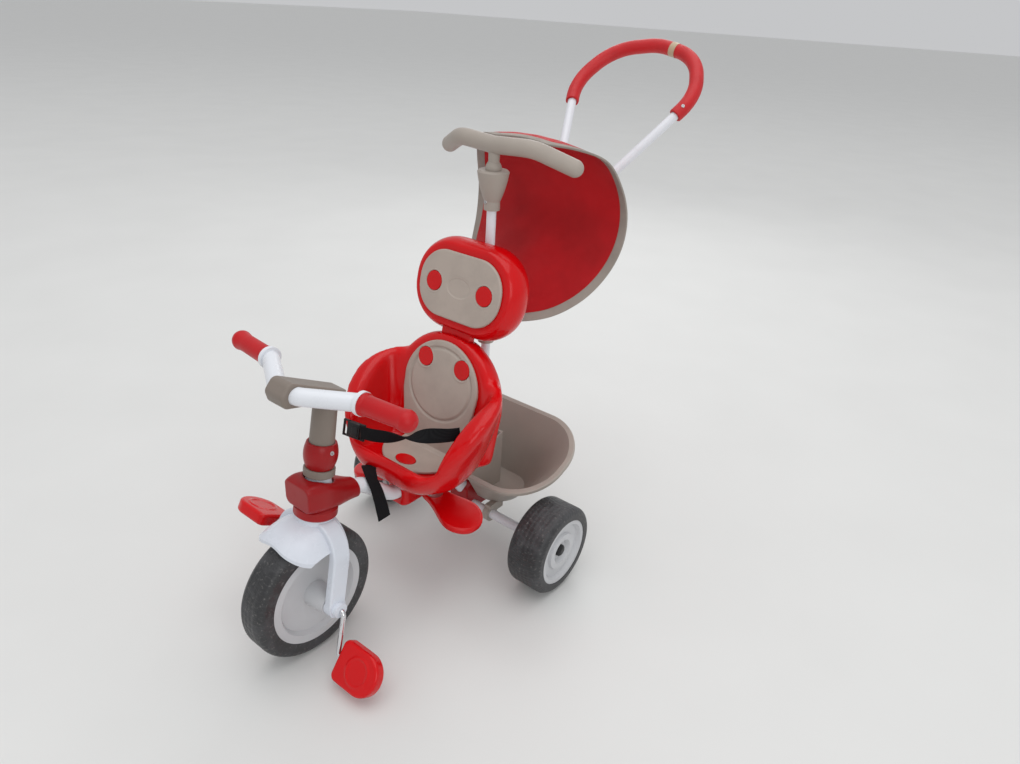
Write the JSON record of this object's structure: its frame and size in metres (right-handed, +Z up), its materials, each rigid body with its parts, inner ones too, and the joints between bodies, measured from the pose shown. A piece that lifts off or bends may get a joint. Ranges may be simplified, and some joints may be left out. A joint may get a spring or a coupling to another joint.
{
  "type": "tricycle",
  "caption": "Children's tricycle with pedals on the front wheel, a moulded bucket seat, footrests, a tipping tub, a canopy and a parent's push handle.",
  "frame": {"origin": "on the floor, in the middle of the whole length and on the centre plane", "axes": "+X the way the child faces, +Y the child's left, +Z up"},
  "size_m": [1.1587, 0.527, 1.0094],
  "materials": {
    "red_gloss": "gloss",
    "red_brick": "satin",
    "taupe": "satin",
    "pad": "satin",
    "white_paint": "gloss",
    "white_plastic": "gloss",
    "frame_paint": "gloss",
    "tyre": "satin",
    "disc": "satin",
    "black": "satin",
    "chrome": "polished",
    "steel": "brushed",
    "canopy": "woven",
    "webbing": "woven",
    "foam": "foam",
    "red_rubber": "satin"
  },
  "bodies": {
    "frame": {"frame_tube": "frame_paint", "axle_tube": "frame_paint", "rear_axle": "steel", "rear_bracket": "red_brick", "mast_tube": "frame_paint", "mast_cup": "taupe", "head_lug": "red_brick", "lower_ring": "red_brick", "hub_cap_left": "black", "hub_cap_right": "black", "seat_shell": "red_gloss", "headrest_shell": "red_gloss", "neck": "red_gloss", "back_pad": "pad", "back_dots": "red_gloss", "pan_pad": "pad", "pan_dot": "red_gloss", "head_pad": "pad", "head_dots": "red_gloss", "footrest_pins": "steel", "push_clamp": "taupe", "push_pin": "steel", "canopy_fabric": "canopy", "canopy_binding": "taupe", "canopy_clip": "red_brick", "belt_left": "webbing", "belt_tail": "webbing", "belt_buckle": "black"},
    "fork": {"fork": "white_plastic", "steering_tube": "white_paint", "bearing_dome": "white_plastic", "column_spacer": "taupe", "collar": "red_brick", "column_sleeve": "taupe", "handlebar": "white_paint", "handlebar_cover_upper": "taupe", "handlebar_cover_lower": "taupe", "grip_left": "red_rubber", "grip_right": "red_rubber"},
    "front_wheel": {"front_tyre": "tyre", "front_rim": "disc", "crank": "chrome"},
    "pedal_left": {"pedal_left": "red_gloss"},
    "pedal_right": {"pedal_right": "red_gloss"},
    "rear_wheel_left": {"rear_tyre_left": "tyre", "rear_rim_left": "disc"},
    "rear_wheel_right": {"rear_tyre_right": "tyre", "rear_rim_right": "disc"},
    "tub": {"tub": "taupe"},
    "footrest_left": {"footrest_left": "red_gloss"},
    "footrest_right": {"footrest_right": "red_gloss"},
    "turning_handle": {"t_handle": "taupe", "steering_shaft": "steel"},
    "push_handle": {"push_knuckle": "taupe", "push_pole": "white_paint", "push_yoke": "red_brick", "push_loop": "white_paint", "foam_grip": "foam"}
  },
  "joints": [
    {"name": "steering", "type": "hinge", "parent": "frame", "child": "fork", "pos_m": [0.458, 0, 0.122], "axis": [-0.1736, 0, 0.9848], "range_deg": [-30, 30]},
    {"name": "handle_turn", "type": "hinge", "parent": "frame", "child": "turning_handle", "pos_m": [-0.005, 0, 0.8], "axis": [0, 0, 1], "range_deg": [-15, 15]},
    {"name": "front_wheel_spin", "type": "hinge", "parent": "fork", "child": "front_wheel", "pos_m": [0.458, 0, 0.122], "axis": [0, 1, 0], "continuous": true},
    {"name": "pedal_left_spin", "type": "hinge", "parent": "front_wheel", "child": "pedal_left", "pos_m": [0.47871, 0.152, 0.04473], "axis": [0, 1, 0], "continuous": true},
    {"name": "pedal_right_spin", "type": "hinge", "parent": "front_wheel", "child": "pedal_right", "pos_m": [0.43729, -0.152, 0.19927], "axis": [0, 1, 0], "continuous": true},
    {"name": "rear_wheel_left_spin", "type": "hinge", "parent": "frame", "child": "rear_wheel_left", "pos_m": [0.042, 0.2245, 0.092], "axis": [0, 1, 0], "continuous": true},
    {"name": "rear_wheel_right_spin", "type": "hinge", "parent": "frame", "child": "rear_wheel_right", "pos_m": [0.042, -0.2245, 0.092], "axis": [0, 1, 0], "continuous": true},
    {"name": "tub_tip", "type": "hinge", "parent": "frame", "child": "tub", "pos_m": [0.042, 0, 0.092], "axis": [0, -1, 0], "range_deg": [0, 30]},
    {"name": "footrest_left_fold", "type": "hinge", "parent": "frame", "child": "footrest_left", "pos_m": [0.192, 0.048, 0.214], "axis": [0, 0.225, 0.9744], "range_deg": [0, 45]},
    {"name": "footrest_right_fold", "type": "hinge", "parent": "frame", "child": "footrest_right", "pos_m": [0.192, -0.048, 0.214], "axis": [0, 0.225, -0.9744], "range_deg": [0, 45]},
    {"name": "push_handle_tilt", "type": "hinge", "parent": "frame", "child": "push_handle", "pos_m": [-0.043, 0, 0.468], "axis": [0, -1, 0], "range_deg": [0, 60]}
  ],
  "couplings": [
    {"joint": "handle_turn", "follows": "steering", "ratio": 0.5}
  ]
}
